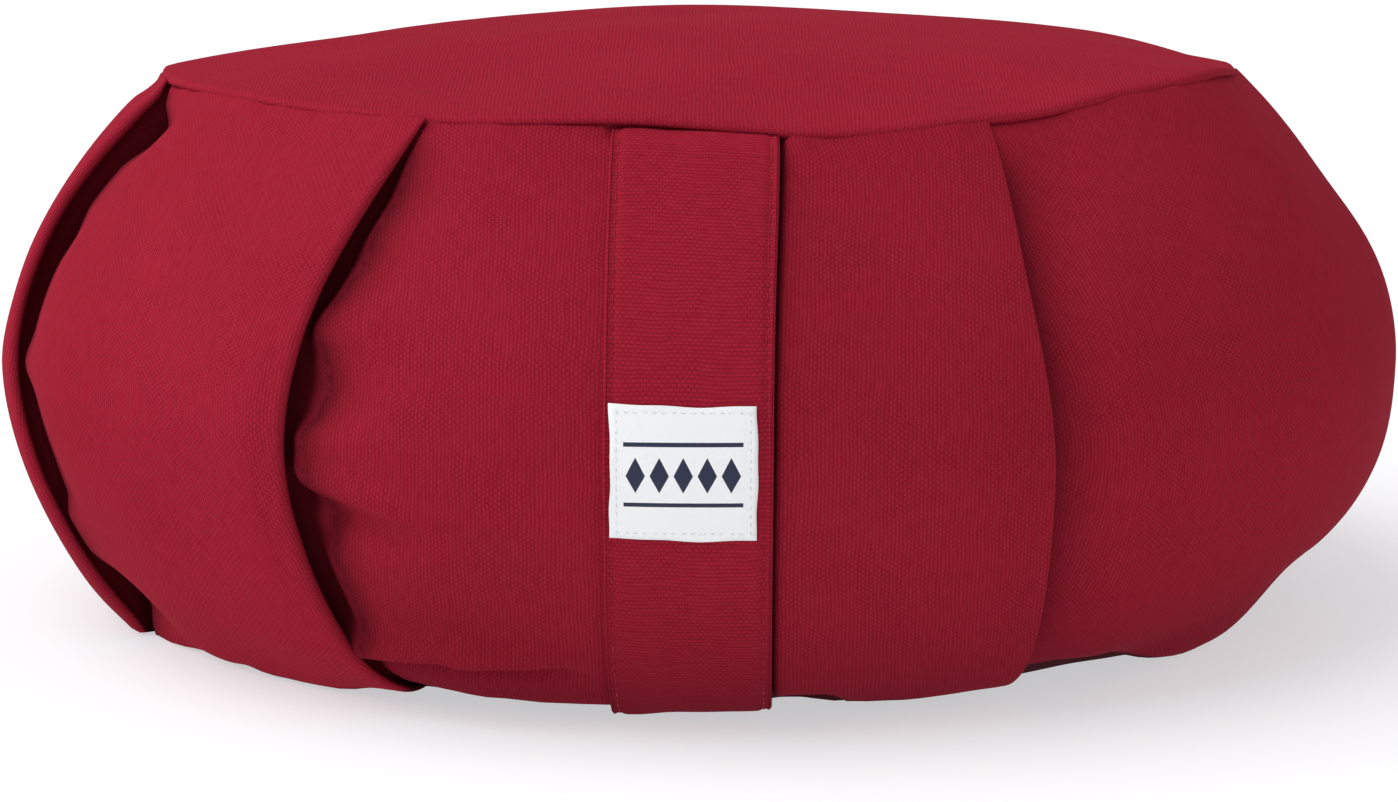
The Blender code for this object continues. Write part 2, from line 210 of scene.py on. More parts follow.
# Soft hollows in the band, and swellings where the depth is negative. Ten of them are in the
# solids too.
Hollow = namedtuple("Hollow", "azimuth half_width share half_height depth")
HOLLOWS = table(Hollow, 4, (
    (-16, 13, 0.95, 0.06, -1.6), (-45, 12, 0.97, 0.09, -5.4), (-66, 14, 0.96, 0.08, -3),
    (-78, 14, 0.89, 0.12, -4.4), (-82, 7, 0.02, 0.018, 1.6), (-85, 7, 0.41, 0.1, 1.1),
    (-65, 6, 0.96, 0.05, -6.4), (-52, 5, 0.97, 0.05, 2), (9.8, 2.8, 0.985, 0.05, 5.5),
    (17, 7, 0.97, 0.06, -1.8), (40, 9, 0.97, 0.12, 2.4), (60, 13, 0.96, 0.09, -4.2),
    (68, 9, 0.8, 0.07, 3), (81, 15, 0.955, 0.095, 6.6), (82, 16, 0.63, 0.09, -1.5),
    (112, 14, 0.8, 0.04, 2), (163, 13, 0.86, 0.045, 2.4), (212, 15, 0.78, 0.04, 2.2),
    (262, 12, 0.25, 0.08, 1.8), (88, 16, 0.2, 0.1, 1.7),
))

# Creases in a panel, numbered as its first pleat: each runs from one place to another, half_width
# to a side. It raises the cloth by rise, or draws it in where the rise is negative. A step stands
# out above the line and falls in below it. A crease runs out softly over its last half.
Crease = namedtuple("Crease", "panel azimuth share to_azimuth to_share half_width rise step")
CREASES = table(Crease, 5, (
    (1, -36, 0.54, -17, 0.604, 4.8, 0, 2.3), (1, -27, 0.583, -31, 0.65, 2.8, -2.4, 0),
    (1, -29.5, 0.275, -23, 0.29, 7, 0.8, 0), (1, -29.5, 0.478, -23, 0.49, 6, 0.8, 0),
    (1, -36, 0.825, -14, 0.8, 4.4, 0, 4.4), (1, -22, 0.803, -8, 0.803, 4.4, 0, 3.8),
))

# Broad unevenness of the filling under the cloth: waves along a direction, by wavelength
Swell = namedtuple("Swell", "x y z wavelength phase")
SWELLS = table(Swell, 5, (
    (0.8, 0.45, 0.39, 0.083, 0.4), (-0.52, 0.74, 0.43, 0.061, 2.1), (0.21, -0.61, 0.76, 0.047, 4),
    (0.66, 0.2, -0.72, 0.071, 5.2), (-0.33, -0.85, 0.41, 0.095, 1.3),
))
SWELL_SIZE = 0.22 * MM

# Small puckers where the cloth is gathered into a seam: waves by count, phase and share of size
PUCKER_SIZE = 0.30 * MM
PUCKER_REACH = 9 * MM
PUCKERS = ((47, 0.3, 0.5), (71, 1.9, 0.3), (29, 4.1, 0.2))

# How finely the band's length down its profile is worked out
ARC_SAMPLES = 801

# ---------------------------------------------------------------- the strap and the label
STRAP_WIDTH = 37.5 * MM
# How far its middle line lies to the right of the front, on its way down
STRAP_MIDDLES = (-0.9 * MM, -1.9 * MM, -2.4 * MM, -2.4 * MM, -1.4 * MM)
# It is a little wider where it is sewn into the top seam
STRAP_FLARE = 0.035
STRAP_FLARE_REACH = 0.4
# Its right edge stands off the band, over a narrow gutter painted dark as the strap's shadow
GUTTER_DEPTH = 1.8 * MM
GUTTER_WIDTHS = (1.3 * MM, 0.7 * MM)
GUTTER_ASIDE = 0.2 * MM
GUTTER_SHADE = 0.35
GUTTER_SHADE_REACH = 0.5
STRAP_THICKNESS = 1.7 * MM
STRAP_LEFT_GAP = 0.35 * MM
STRAP_RIGHT_GAPS = (1.7 * MM, 1.2 * MM, 0.8 * MM, 0.9 * MM, 1.0 * MM)
STRAP_START = 0.004
STRAP_END = 0.985
STRAP_LOWEST = 0.0004
TUCK_DEPTH = 2.2 * MM
TUCK_REACH = 8 * MM
DENT_MARGIN = 0.8 * MM
DENT_EASE = 2 * MM
STITCH_INSET = 1.9 * MM
STITCH_SINK = 0.45 * MM
STITCH_TRACK = 0.8 * MM
LABEL_TOP = 0.405
LABEL_BOTTOM = 0.582
LABEL_WIDTH = 32.2 * MM
LABEL_MIDDLE = -3.4 * MM
LABEL_THICKNESS = 0.5 * MM
LABEL_GAP = 0.30 * MM
LABEL_INSET = 1.5 * MM
LABEL_PRESS = 0.16 * MM
LABEL_PRESS_REACH = 0.7 * MM
LABEL_CURL = 0.12 * MM
LABEL_CURL_REACH = 0.5 * MM

# A run of stitches: how far apart they start, and each one's size
Stitch = namedtuple("Stitch", "spacing length thickness")
STRAP_STITCH = Stitch(3.3 * MM, 2.6 * MM, 0.48 * MM)
LABEL_STITCH = Stitch(2.05 * MM, 1.5 * MM, 0.40 * MM)
STITCHED_SHARES = (0.030, 0.965)
THREAD_RISE = 0.02 * MM

CLOTH_MAP = "cloth"


def smooth(x):
    """0 below 0, 1 above 1, and an even S between them."""
    x = np.clip(x, 0, 1)
    return x * x * (3 - 2 * x)


def blend(a, b, t):
    return a + (b - a) * t


def curve_between(a, slope_a, b, slope_b, t):
    """The smooth curve from a to b with those slopes, t running from 0 to 1."""
    return (
        (2 * t**3 - 3 * t**2 + 1) * a
        + (t**3 - 2 * t**2 + t) * slope_a
        + (3 * t**2 - 2 * t**3) * b
        + (t**3 - t**2) * slope_b
    )


def curve_through(values, along):
    """A smooth curve through evenly spaced values, along running from 0 to 1."""
    values = np.asarray(values, float)
    at = along * (len(values) - 1)
    here = np.clip(at.astype(int), 0, len(values) - 2)
    t = at - here
    a, b = values[here], values[here + 1]
    before = np.where(here > 0, values[np.maximum(here - 1, 0)], 2 * a - b)
    after = np.where(here + 2 < len(values), values[np.minimum(here + 2, len(values) - 1)], 2 * b - a)
    return curve_between(a, (b - before) / 2, b, (after - a) / 2, t)


def eased_through(places, values, at):
    """A curve through a table's rows that never swings past them."""
    places, values = np.asarray(places, float), np.asarray(values, float)
    slopes = np.diff(values) / np.diff(places)
    tangents = np.zeros(len(places))
    both = slopes[:-1] * slopes[1:]
    turning = both > 0
    tangents[1:-1][turning] = 2 * both[turning] / (slopes[:-1] + slopes[1:])[turning]
    here = np.clip(np.searchsorted(places, at, side="right") - 1, 0, len(slopes) - 1)
    width = places[here + 1] - places[here]
    t = np.clip((at - places[here]) / width, 0, 1)
    slope_a, slope_b = width * tangents[here], width * tangents[here + 1]
    return curve_between(values[here], slope_a, values[here + 1], slope_b, t)


def seam_rise(azimuth):
    """How far the top seam stands above SEAM_HEIGHT, eased between the table's rows."""
    rows = SEAM_RISES + (SeamRise(SEAM_RISES[0].azimuth + 360, SEAM_RISES[0].rise),)
    places = np.array([row.azimuth for row in rows], float)
    rises = np.array([row.rise for row in rows])
    at = (azimuth - places[0]) % 360 + places[0]
    here = np.clip(np.searchsorted(places, at, side="right") - 1, 0, len(rows) - 2)
    along = (at - places[here]) / (places[here + 1] - places[here])
    return blend(rises[here], rises[here + 1], smooth(along))


def band_profile(share):
    """Radius and height of the band without its pleats."""
    up = np.clip(1 - share / BULGE_SHARE, 0, 1)
    turn = np.clip((share - BULGE_SHARE) / (1 - BULGE_SHARE), 0, 1) * math.pi / 2
    out = np.maximum(np.cos(turn), 0) ** HEEL_POWER
    down = np.sin(turn) ** HEEL_POWER
    upper = share < BULGE_SHARE
    radius = np.where(
        upper,
        blend(BULGE_RADIUS, SEAM_RADIUS, up**SHOULDER_POWER),
        blend(BOTTOM_SEAM_RADIUS, BULGE_RADIUS, out),
    )
    height = np.where(
        upper,
        blend(BULGE_HEIGHT, SEAM_HEIGHT, up),
        blend(BULGE_HEIGHT, BOTTOM_SEAM_HEIGHT, down),
    )
    return radius, height


def band_normal(share):
    """The band's outward direction, as its radial and upward parts."""
    step = 0.004
    r0, z0 = band_profile(np.maximum(share - step, 0))
    r1, z1 = band_profile(np.minimum(share + step, 1))
    long = np.hypot(r1 - r0, z1 - z0)
    return (z0 - z1) / long, (r1 - r0) / long


def tabulate_arc():
    share = np.linspace(0, 1, ARC_SAMPLES)
    radius, height = band_profile(share)
    steps = np.hypot(np.diff(radius), np.diff(height))
    return share, np.concatenate([[0], np.cumsum(steps)])


ARC_SHARES, ARC_LENGTHS = tabulate_arc()


def arc_down(share):
    """Metres of cloth from the top seam down to a share."""
    return np.interp(share, ARC_SHARES, ARC_LENGTHS)


def degrees_across(share):
    """Degrees of azimuth in a metre along the band."""
    return np.degrees(1 / band_profile(share)[0])


def degrees_apart(azimuth, other):
    return (azimuth - other + 180) % 360 - 180


def place(radius, azimuth, height):
    turn = np.radians(azimuth)
    points = np.broadcast_arrays(radius * np.sin(turn), -radius * np.cos(turn), height)
    return np.stack(points, -1)


def hollow_depth(azimuth, share):
    """How far the hollows draw the band in."""
    depth = 0
    for hollow in HOLLOWS:
        aside = degrees_apart(azimuth, hollow.azimuth) / hollow.half_width
        away = (share - hollow.share) / hollow.half_height
        depth = depth + hollow.depth * np.exp(-(aside**4) - away**2)
    return depth


def crease_rise(panel, azimuth, share):
    """How far a panel's creases raise its cloth."""
    radius, arc = band_profile(share)[0], arc_down(share)
    rise = np.zeros(np.broadcast(azimuth, share).shape)
    for crease in CREASES:
        if crease.panel != panel:
            continue
        across = np.radians(degrees_apart(azimuth, crease.azimuth)) * radius
        down = arc - arc_down(crease.share)
        middle = band_profile(np.array((crease.share + crease.to_share) / 2))[0]
        run_across = math.radians(crease.to_azimuth - crease.azimuth) * middle
        run_down = arc_down(crease.to_share) - arc_down(crease.share)
        run = run_across**2 + run_down**2
        along = np.clip((across * run_across + down * run_down) / run, 0, 1)
        off = (across - along * run_across) ** 2 + (down - along * run_down) ** 2
        ends = smooth(4 * along) * smooth(2 * (1 - along))
        above = (across * run_down - down * run_across) * math.copysign(1, run_across)
        above = above / math.sqrt(run) / crease.half_width
        form = crease.rise + crease.step * math.sqrt(2 * math.e) * above
        rise = rise + form * ends * np.exp(-off / crease.half_width**2)
    return rise


def swell_rise(radius, azimuth, height):
    """The filling's broad unevenness at a place on the form."""
    x, y, z = np.moveaxis(place(radius, azimuth, height), -1, 0)
    rise = 0
    for swell in SWELLS:
        along = (swell.x * x + swell.y * y + swell.z * z) / swell.wavelength
        rise = rise + SWELL_SIZE * np.sin(2 * math.pi * along + swell.phase)
    return rise


def pucker_rise(azimuth, share):
    """Small ripples across a seam, which fade away from it."""
    turn = np.radians(azimuth)
    ripple = sum(size * np.sin(count * turn + phase) for count, phase, size in PUCKERS)
    arc = arc_down(share)
    near = np.exp(-((arc / PUCKER_REACH) ** 2))
    near = near + np.exp(-(((ARC_LENGTHS[-1] - arc) / PUCKER_REACH) ** 2))
    return PUCKER_SIZE * ripple * near


def strap_middle(share):
    return curve_through(STRAP_MIDDLES, share)


def strap_half(share):
    return STRAP_WIDTH / 2 * (1 + STRAP_FLARE * (1 - smooth(share / STRAP_FLARE_REACH)))


def tuck_depth(share):
    """How far the strap, and the band behind it, draw in towards the top seam."""
    return TUCK_DEPTH * (1 - smooth(arc_down(share) / TUCK_REACH))


def strap_dent(azimuth, share):
    """The band's dent behind the strap, below the top seam."""
    radius = band_profile(share)[0]
    across = np.radians(degrees_apart(azimuth, 0)) * radius - strap_middle(share)
    inside = 1 - smooth((np.abs(across) - STRAP_WIDTH / 2 - DENT_MARGIN) / DENT_EASE)
    return tuck_depth(share) * inside


def strap_gutter(azimuth, share):
    """1 in the gutter at the strap's right edge, and 0 away from it."""
    across = np.sin(np.radians(azimuth)) * band_profile(share)[0]
    past = across - strap_middle(share) - strap_half(share)
    return np.exp(-(((past - GUTTER_ASIDE) / blend(*GUTTER_WIDTHS, share)) ** 2))


def band_point(azimuth, share, outward):
    """The point that far out from the unpleated band, with the cloth's own unevenness."""
    radius, height = band_profile(share)
    out, up = band_normal(share)
    outward = (
        outward
        - hollow_depth(azimuth, share)
        + swell_rise(radius, azimuth, height)
        + pucker_rise(azimuth, share)
    )
    height = height + seam_rise(azimuth) * (1 - smooth(share / RISE_REACH)) + up * outward
    return place(radius + out * outward, azimuth, np.maximum(height, LOWEST_BAND))


def edge_azimuth(pleat, share):
    return curve_through((pleat.top, pleat.high, pleat.middle, pleat.low, pleat.bottom), share)


def opening(share):
    return np.sin(math.pi * share) ** OPENING_POWER


def mouth_at(index, share):
    """A pleat's Mouth at each share, in metres."""
    rows = MOUTHS[index]
    shares = [row.share for row in rows]
    sizes = [
        eased_through(shares, [getattr(row, size) for row in rows], share)
        for size in Mouth._fields[1:]
    ]
    return Mouth(share, *sizes)


def panel_ends(index, share):
    """The pleats at a panel's start and end, and the azimuths of their fold edges."""
    last = (index + 1) % len(PLEATS)
    wrap = 360 if last == 0 else 0
    return last, edge_azimuth(PLEATS[index], share), edge_azimuth(PLEATS[last], share) + wrap


def panel_offset(index, azimuth, share):
    """How far a panel stands out from the unpleated band, also under the fold before it."""
    last, start, end = panel_ends(index, share)
    scale = degrees_across(share)
    past, before = (azimuth - start) / scale, (end - azimuth) / scale
    slot, fold = mouth_at(index, share), mouth_at(last, share)
    lift = blend(SEWN_LIFT, PLEATS[last].lift, opening(share))
    across = np.clip((azimuth - start) / (end - start), 0, 1)
    puff = PANEL_PUFF * np.sin(math.pi * across) * np.sin(math.pi * share)
    down = (slot.depth - slot.shoulder) * (1 - smooth((past - slot.gap) / slot.wall + 1))
    shelf = slot.shoulder * (1 - smooth((past - slot.gap) / SHELF_REACH))
    droop = fold.droop * (1 - smooth(before / DROOP_REACH))
    rise = lift * (1 - smooth(before / LIFT_REACH)) + crease_rise(index, azimuth, share)
    return puff - down - shelf + rise - droop


# ---------------------------------------------------------------- the cover's grid
# Where a row of cloth is sampled on each panel: tucked under the fold before it, up the slot's
# wall, on the shelf past the shoulder, across the middle, before its own fold, round that fold
# and back under it
TUCKED = (0, 0.4, 0.75)
WALL = np.linspace(0, 1, 8)
SHELF = np.array((1.0, 2.2, 3.6, 5.2, 7.2, 9.6, 12.5, 16, 20, 25, 30)) * MM
MIDDLE = 22
# The front panel's middle is sampled more closely beside its strap's right edge
LEFT_OF_GUTTER = 15
GUTTER = np.array((-1.6, -0.6, 0.1, 0.6, 1.1, 1.7, 2.6, 4.0)) * MM
RIGHT_OF_GUTTER = 6
BEFORE = np.array((46, 41, 36, 31, 27, 23, 19.5, 16.5, 13.8, 11.4, 9.2, 7.2, 5.4, 3.9)) * MM
ROUND = np.radians(np.linspace(90, -90, 10))
UNDER = (0.35, 0.7, 1.0)
BAND_ROWS = np.concatenate(
    [np.linspace(0, 0.05, 12)[:-1], np.linspace(0.05, 0.95, 140), np.linspace(0.95, 1, 12)[1:]]
)
CROWN_PARTS = np.concatenate([np.linspace(0.04, 0.86, 15), np.linspace(0.89, 0.986, 8)])
LIP_TURNS = np.radians((15, 40, 65, 90, 118))


def lay_middle(index, share, far, near):
    """The azimuths of the columns across a panel's middle."""
    if index != FRONT_PANEL:
        return [blend(far, near, (n + 1) / (MIDDLE + 1)) for n in range(MIDDLE)]
    edge = strap_middle(share) + strap_half(share)
    beside = [np.degrees(np.arcsin((edge + step) / band_profile(share)[0])) for step in GUTTER]
    left, right = LEFT_OF_GUTTER, RIGHT_OF_GUTTER
    return (
        [blend(far, beside[0], (n + 1) / (left + 1)) for n in range(left)]
        + beside
        + [blend(beside[-1], near, (n + 1) / (right + 1)) for n in range(right)]
    )


def lay_panel(index, share):
    """A panel's columns as (azimuth, offset), share being a column of rows."""
    last, start, end = panel_ends(index, share)
    scale = degrees_across(share)
    slot, fold = mouth_at(index, share), mouth_at(last, share)
    overlap = blend(SEWN_OVERLAP, PLEATS[index].overlap, opening(share))
    foot = slot.gap - slot.wall
    past = [blend(-overlap, foot, back) for back in TUCKED]
    past += [foot + slot.wall * part for part in WALL]
    past += [slot.gap + distance for distance in SHELF]
    azimuths = [start + distance * scale for distance in past]
    level = len(azimuths) - len(SHELF)
    far, near = azimuths[-1], end - BEFORE[0] * scale
    azimuths += lay_middle(index, share, far, near)
    azimuths += [end - distance * scale for distance in BEFORE]
    azimuths = np.hstack(azimuths)
    offsets = panel_offset(index, azimuths, share)
    leveled = slice(level, azimuths.shape[1])

    half = fold.thick / 2
    middle = panel_offset(index, end - half * scale, share) - half
    round_az = end - half * (1 - np.cos(ROUND)) * scale
    round_out = middle + half * np.sin(ROUND)
    back = blend(SEWN_OVERLAP, PLEATS[last].overlap, opening(share)) * UNDERFOLD
    deep = -fold.depth
    under = np.array(UNDER)
    under_az = end - (half + (back - half) * under) * scale
    under_out = blend(middle - half, blend(middle - half, deep, UNDERFOLD), under)
    return (
        np.hstack([azimuths, round_az, under_az]),
        np.hstack([offsets, round_out, under_out]),
        leveled,
    )


def painted_shade_low(shading, share):
    """How much painted shade open cloth gets, more so towards the bottom seam."""
    low = LOW_SHADE * smooth((share - LOW_START) / LOW_REACH)
    low = low + HEM_SHADE * smooth((share - HEM_START) / HEM_REACH)
    return shading.kept + shading.low * low


def painted_shade_beside(index, azimuth, share):
    """How much painted shade a panel gets in the slot before it, and beside that."""
    slot = mouth_at(index, share)
    past = (azimuth - edge_azimuth(PLEATS[index], share)) / degrees_across(share) - slot.gap
    beside = BORDER_SHADE * np.exp(-np.maximum(past, 0) / BORDER_REACH)
    return np.where(past < 0, SLOT_SHADE, beside) * smooth(slot.depth / BORDER_DEPTH)


def lay_band():
    """Every row of the band with its folds: points, cloth coordinates, rubbed edges, painted
    shade, the columns that lie open, and azimuths."""
    share = BAND_ROWS[:, None]
    arc = arc_down(share)
    points, maps, rubs, painted_shades, opens, azimuths = [], [], [], [], [], []
    turned_back = np.append(smooth(-ROUND / (math.pi / 2)), np.ones(len(UNDER)))
    count = 0
    for index in range(len(PLEATS)):
        azimuth, offset, leveled = lay_panel(index, share)
        # Painted shade in the open slot before the panel, and beside its mouth the less the further away
        painted_shade = painted_shade_beside(index, azimuth, share)
        if index == FRONT_PANEL:
            gutter = strap_gutter(azimuth, share)
            offset = offset - strap_dent(azimuth, share) - GUTTER_DEPTH * gutter
            # The band beside the strap's right edge is painted dark as the strap's shadow
            painted_shade = np.maximum(painted_shade, smooth((gutter - GUTTER_SHADE) / GUTTER_SHADE_REACH))
        turned = azimuth.shape[1] - len(turned_back)
        # The fold's back is painted dark as painted shade
        painted_shade[:, turned:] = np.maximum(painted_shade[:, turned:], BACK_SHADE * turned_back)
        # Painted shade low down, more towards the hem
        painted_shade = np.maximum(painted_shade, painted_shade_low(PANEL_SHADES[index], share))
        # All of it from HEM_LINE down, as a painted contact shadow
        painted_shades.append(np.maximum(painted_shade, smooth((share - HEM_LINE) / HEM_LINE_REACH)))
        points.append(band_point(azimuth, share, offset))
        azimuths.append(azimuth)
        opens += list(range(count + leveled.start, count + leveled.stop))
        count += azimuth.shape[1]
        rub = np.zeros(azimuth.shape)
        rub[:, turned : turned + len(ROUND)] = np.cos(ROUND * RUB_SPREAD)
        rub[:, turned - 1] = RUB_BEFORE
        rubs.append(rub)
    for index in range(len(PLEATS)):
        following = points[(index + 1) % len(PLEATS)][:, :1]
        run = np.concatenate([points[index], following], axis=1)
        steps = np.linalg.norm(np.diff(run, axis=1), axis=2)
        along = np.hstack([np.zeros((len(run), 1)), np.cumsum(steps, axis=1)])
        middle = azimuths[index].shape[1] // 2
        along = along - along[:, middle : middle + 1]
        maps.append(np.stack(np.broadcast_arrays(along, -arc), -1))
    return (
        np.hstack(points), maps, np.hstack(rubs), np.hstack(painted_shades), np.array(opens),
        np.hstack(azimuths),
    )


def level_azimuths(azimuths, opens):
    """One azimuth for each column, those in a fold being spread evenly between open ones."""
    count = len(azimuths)
    at = np.concatenate([opens - count, opens, opens + count])
    value = np.concatenate([azimuths[opens] - 360, azimuths[opens], azimuths[opens] + 360])
    return np.interp(np.arange(count), at, value)


def top_rings(azimuth):
    """The top panel from near its centre to its rolled edge and the groove under it."""
    rise = seam_rise(azimuth)
    crown = CROWN_TOP - SEAM_HEIGHT - EDGE_RISE
    rings, arcs = [], []
    for part in CROWN_PARTS:
        radius = part * (LIP_RADIUS - EDGE_ROLL)
        height = SEAM_HEIGHT + EDGE_RISE + crown * (1 - part**CROWN_POWER)
        height = height + rise * part**PULL_POWER
        calm = smooth(EDGE_CALM * (1 - part) + EDGE_UNEVEN)
        height = height + swell_rise(radius, azimuth, height) * calm
        rings.append(place(radius, azimuth, height))
        arcs.append(radius)
    rim = LIP_RADIUS - EDGE_ROLL
    start = SEAM_HEIGHT + EDGE_RISE - EDGE_ROLL + rise
    for turn in LIP_TURNS:
        radius = rim + EDGE_ROLL * math.sin(turn)
        rings.append(place(radius, azimuth, start + EDGE_ROLL * math.cos(turn)))
        arcs.append(rim + EDGE_ROLL * turn)
    rings.append(place(GROOVE_RADIUS, azimuth, SEAM_HEIGHT + GROOVE_RISE + rise))
    arcs.append(arcs[-1] + GROOVE_DROP)
    turn = np.radians(azimuth)
    maps = [np.stack([arc * np.sin(turn), -arc * np.cos(turn)], -1) for arc in arcs]
    return np.stack(rings), np.stack(maps)


def show(name, data):
    """Puts a new object with this data in the scene."""
    thing = bpy.data.objects.new(name, data)
    bpy.context.scene.collection.objects.link(thing)
    return thing


def make_mesh(name, points, faces, face_maps=None, attributes=None):
    """A smooth mesh. face_maps has each face corner's cloth coordinates, in metres, and
    attributes a number for each point, by name."""
    data = bpy.data.meshes.new(name)
    data.from_pydata(np.asarray(points).tolist(), [], faces)
    if face_maps is not None:
        layer = data.uv_layers.new(name=CLOTH_MAP)
        layer.uv.foreach_set("vector", np.concatenate(face_maps).astype(np.float32).ravel())
    for attribute_name, values in (attributes or {}).items():
        attribute = data.attributes.new(attribute_name, "FLOAT", "POINT")
        attribute.data.foreach_set("value", np.asarray(values, np.float32))
    data.shade_smooth()
    data.update()
    return show(name, data)


def make_cover():
    """One closed loft: the top panel, the rolled seam, the pleated band and the flat bottom."""
    band, band_maps, band_rub, band_painted_shade, opens, band_azimuths = lay_band()
    top, top_maps = top_rings(level_azimuths(band_azimuths[0], opens))
    below = level_azimuths(band_azimuths[-1], opens)
    drawn_in = hollow_depth(below, 1)
    floor = np.stack([place(HEM_RADIUS - drawn_in, below, HEM_HEIGHT)] + [
        place((FLOOR_RADIUS - drawn_in) * part, below, 0) for part in FLOOR_PARTS
    ])
    grid = np.concatenate([top, band, floor])
    rows, columns = grid.shape[:2]
    points = np.concatenate([grid.reshape(-1, 3), [[0, 0, CROWN_TOP], [0, 0, 0]]])
    crown_centre, floor_centre = rows * columns, rows * columns + 1
    rub = np.zeros((rows, columns))
    rub[len(top) : len(top) + len(band)] = band_rub
    rub[: len(top)][RUBBED_LIP_ROWS] = RUB_LIP
    rub = np.append(rub.ravel(), [0, 0])
    painted_shade = np.zeros((rows, columns))
    # The flat bottom is painted fully dark as painted shade
    painted_shade[len(top) + len(band) :] = FLOOR_SHADE
    painted_shade[len(top) : len(top) + len(band)] = band_painted_shade
    painted_shade = np.append(painted_shade.ravel(), [0, FLOOR_SHADE])

    faces, maps = [], []

    def add_strip(upper, lower, upper_map, lower_map, first, count):
        for step in range(count):
            here, after = first + step, (first + step + 1) % columns
            faces.append((
                upper * columns + here, lower * columns + here,
                lower * columns + after, upper * columns + after,
            ))
            maps.append(np.array((
                upper_map[step], lower_map[step], lower_map[step + 1], upper_map[step + 1],
            )))

    def around(ring):
        return np.concatenate([ring, ring[:1]])

    for row in range(len(top) - 1):
        add_strip(row, row + 1, around(top_maps[row]), around(top_maps[row + 1]), 0, columns)
    seam = around(top_maps[-1])
    add_strip(len(top) - 1, len(top), seam, seam * SEAM_EASE, 0, columns)
    first = 0
    for panel in band_maps:
        count = panel.shape[1] - 1
        for row in range(len(band) - 1):
            at = len(top) + row
            add_strip(at, at + 1, panel[row], panel[row + 1], first, count)
        first += count
    floor_maps = [around(ring[:, :2]) for ring in grid[len(top) + len(band) - 1 :]]
    for step in range(len(floor_maps) - 1):
        at = len(top) + len(band) - 1 + step
        add_strip(at, at + 1, floor_maps[step], floor_maps[step + 1], 0, columns)
    for here in range(columns):
        after = (here + 1) % columns
        faces.append((crown_centre, here, after))
        maps.append(np.array(((0, 0), top_maps[0][here], top_maps[0][after])))
        low_row = (rows - 1) * columns
        faces.append((floor_centre, low_row + after, low_row + here))
        maps.append(np.array(((0, 0), grid[-1][after][:2], grid[-1][here][:2])))
    return make_mesh("cushion_cover", points, faces, maps, {"rub": rub, "painted_shade": painted_shade})


# ---------------------------------------------------------------- the strap and the label
def strap_point(side, share, outward):
    """A point on the strap. side is metres from its middle line, outward from its back."""
    across = strap_middle(share) + side * strap_half(share) / (STRAP_WIDTH / 2)
    azimuth = np.degrees(np.arcsin(across / band_profile(share)[0]))
    right = curve_through(STRAP_RIGHT_GAPS, share)
    gap = blend(STRAP_LEFT_GAP, right, smooth(side / STRAP_WIDTH + 0.5))
    resting = panel_offset(FRONT_PANEL, azimuth, share) - tuck_depth(share)
    return band_point(azimuth, share, resting + gap + outward)


def strap_face(side):
    """How thick the strap is: sunk along its stitching, and full at its folded edges."""
    inset = STRAP_WIDTH / 2 - np.abs(side)
    sunk = STITCH_SINK * np.exp(-(((inset - STITCH_INSET) / STITCH_TRACK) ** 2))
    return STRAP_THICKNESS - sunk


def strap_section():
    """(side, outward) round the strap's section, from its left edge over its face."""
    half, roll = STRAP_WIDTH / 2, STRAP_THICKNESS / 2
    turns = np.radians(np.linspace(-90, 90, 7))
    inner = half - roll
    track = half - STITCH_INSET + np.array((1.4, 0.9, 0.5, 0, -0.5, -0.9, -1.5, -2.6)) * MM
    face = np.concatenate([-track, np.linspace(-12, 12, 9) * MM, track[::-1]])
    left = np.stack([-inner - roll * np.cos(turns), roll + roll * np.sin(turns)], 1)
    right = np.stack([inner + roll * np.cos(-turns), roll + roll * np.sin(-turns)], 1)
    front = np.stack([face, strap_face(face)], 1)
    back = np.stack([np.linspace(inner, -inner, 9)[1:-1], np.zeros(7)], 1)
    return np.concatenate([left, front, right, back])


def lay_grid(coordinates, columns):
    """The faces of a grid of points and their cloth coordinates, which have one column more
    than the points where the grid closes on itself."""
    faces, maps = [], []
    for row in range(coordinates.shape[0] - 1):
        for here in range(coordinates.shape[1] - 1):
            corners = ((row, here), (row + 1, here), (row + 1, here + 1), (row, here + 1))
            faces.append(tuple(r * columns + c % columns for r, c in corners))
            maps.append(np.array([coordinates[corner] for corner in corners]))
    return faces, maps


def sweep(name, rows, coordinates, painted_shade):
    """A closed tube of cloth through rows of points, its ends closed. coordinates has each
    point's cloth coordinates, the first column's being repeated at the end."""
    count, columns = rows.shape[:2]
    faces, maps = lay_grid(coordinates, columns)
    faces.append(tuple(range(columns)))
    maps.append(coordinates[0][:columns])
    faces.append(tuple(range((count - 1) * columns, count * columns))[::-1])
    maps.append(coordinates[-1][:columns][::-1])
    return make_mesh(name, rows.reshape(-1, 3), faces, maps, {"painted_shade": painted_shade})


def make_strap():
    share = BAND_ROWS[(BAND_ROWS > STRAP_START) & (BAND_ROWS < STRAP_END)][:, None]
    section = strap_section()
    rows = strap_point(section[:, 0], share, section[:, 1])
    lowest = np.maximum(rows[..., 2], STRAP_LOWEST)
    rows = np.concatenate([rows[..., :2], lowest[..., None]], -1)
    steps = np.linalg.norm(np.diff(np.concatenate([section, section[:1]]), axis=0), axis=1)
    round_it = np.concatenate([[0], np.cumsum(steps)])
    round_it = round_it - STRAP_WIDTH / 2 - STRAP_THICKNESS / 2
    coordinates = np.stack(np.broadcast_arrays(round_it, -arc_down(share)), -1)
    # The strap is painted darker low down too, as painted shade
    painted_shade = np.repeat(painted_shade_low(STRAP_SHADE, share), len(section))
    return sweep("front_strap", rows, coordinates, painted_shade)


